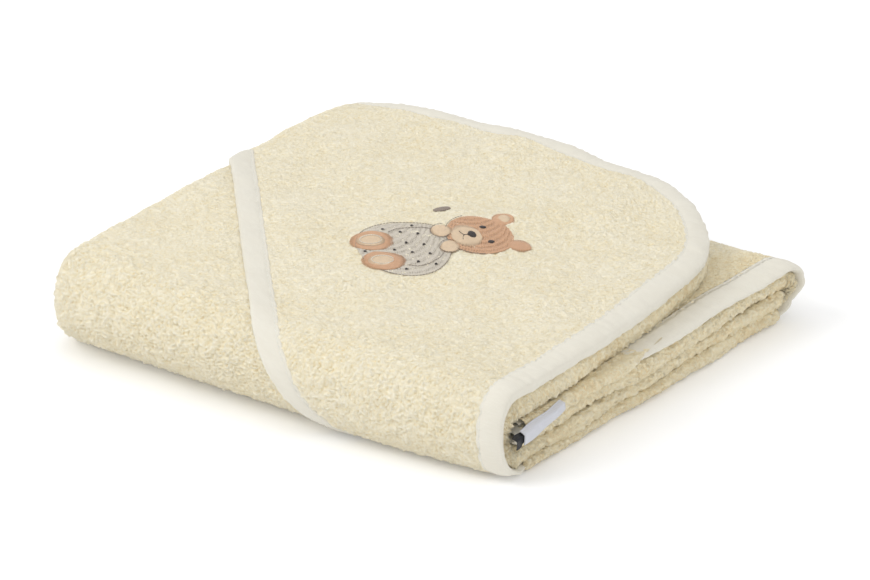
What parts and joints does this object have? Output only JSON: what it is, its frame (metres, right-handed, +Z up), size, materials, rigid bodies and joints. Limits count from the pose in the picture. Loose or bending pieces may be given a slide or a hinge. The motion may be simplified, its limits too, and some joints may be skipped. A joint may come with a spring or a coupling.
{
  "type": "hooded baby towel",
  "caption": "Hooded terry towel for a baby, folded into a flat pack with its bound hood corner on top; the hood flap unfolds over a rolled front fold.",
  "frame": {"origin": "middle of the pack's footprint, on the surface that it lies on", "axes": "+X along the front fold from the creased end to the bound end, +Y from the front fold to the back fold, +Z up"},
  "size_m": [0.275, 0.265, 0.0522],
  "materials": {
    "terry_cream": "looped cotton terry, matt",
    "cotton_tape": "plain cotton tape, matt",
    "woven_label": "smooth woven ribbon",
    "printed_label": "satin ribbon",
    "thread_oatmeal": "rayon thread",
    "thread_tan": "rayon thread",
    "thread_pale_tan": "rayon thread",
    "thread_dark": "rayon thread",
    "thread_taupe": "rayon thread"
  },
  "bodies": {
    "base": {"binding_back_fold": "cotton_tape", "binding_base": "cotton_tape", "binding_middle_flap_end": "cotton_tape", "binding_middle_flap_end_inner": "cotton_tape", "binding_middle_flap_side": "cotton_tape", "brand_label": "woven_label", "care_label": "printed_label", "crease_back_fold": "terry_cream", "crease_base": "terry_cream", "crease_middle_flap": "terry_cream", "terry_back_fold_inner": "terry_cream", "terry_back_fold_outer": "terry_cream", "terry_base_inner": "terry_cream", "terry_base_outer": "terry_cream", "terry_middle_flap_inner": "terry_cream", "terry_middle_flap_outer": "terry_cream"},
    "fold_lower": {"binding_fold_lower": "cotton_tape", "crease_fold_lower": "terry_cream", "hood_binding_fold_lower": "cotton_tape", "hood_panel_fold_lower": "terry_cream", "terry_fold_lower_inner": "terry_cream", "terry_fold_lower_outer": "terry_cream"},
    "fold_upper": {"binding_fold_upper": "cotton_tape", "crease_fold_upper": "terry_cream", "hood_binding_fold_upper": "cotton_tape", "hood_panel_fold_upper": "terry_cream", "terry_fold_upper_inner": "terry_cream", "terry_fold_upper_outer": "terry_cream"},
    "hood_flap": {"bear_body": "thread_oatmeal", "bear_ear_left": "thread_tan", "bear_ear_right": "thread_tan", "bear_eye_left": "thread_dark", "bear_eye_right": "thread_dark", "bear_head": "thread_tan", "bear_muzzle": "thread_pale_tan", "bear_nose": "thread_dark", "bear_sole_left": "thread_tan", "bear_sole_pad_left": "thread_pale_tan", "bear_sole_pad_right": "thread_pale_tan", "bear_sole_right": "thread_tan", "binding_hood_flap": "cotton_tape", "crease_hood": "terry_cream", "crease_hood_flap": "terry_cream", "hood_binding_flap": "cotton_tape", "hood_panel_flap": "terry_cream", "small_oval_motif": "thread_taupe", "terry_hood_flap_inner": "terry_cream", "terry_hood_flap_outer": "terry_cream"}
  },
  "joints": [
    {"name": "front_fold_turn", "type": "hinge", "parent": "base", "child": "fold_lower", "pos_m": [0, -0.11922, 0.00026], "axis": [1, 0, 0], "range_deg": [0, 60]},
    {"name": "mid_fold_turn", "type": "hinge", "parent": "fold_lower", "child": "fold_upper", "pos_m": [0, -0.1325, 0.02325], "axis": [1, 0, 0], "range_deg": [0, 60]},
    {"name": "hood_flap_turn", "type": "hinge", "parent": "fold_upper", "child": "hood_flap", "pos_m": [0, -0.11922, 0.04624], "axis": [1, 0, 0], "range_deg": [0, 60]}
  ],
  "couplings": [
    {"joint": "mid_fold_turn", "follows": "front_fold_turn", "ratio": 1},
    {"joint": "hood_flap_turn", "follows": "front_fold_turn", "ratio": 1}
  ]
}
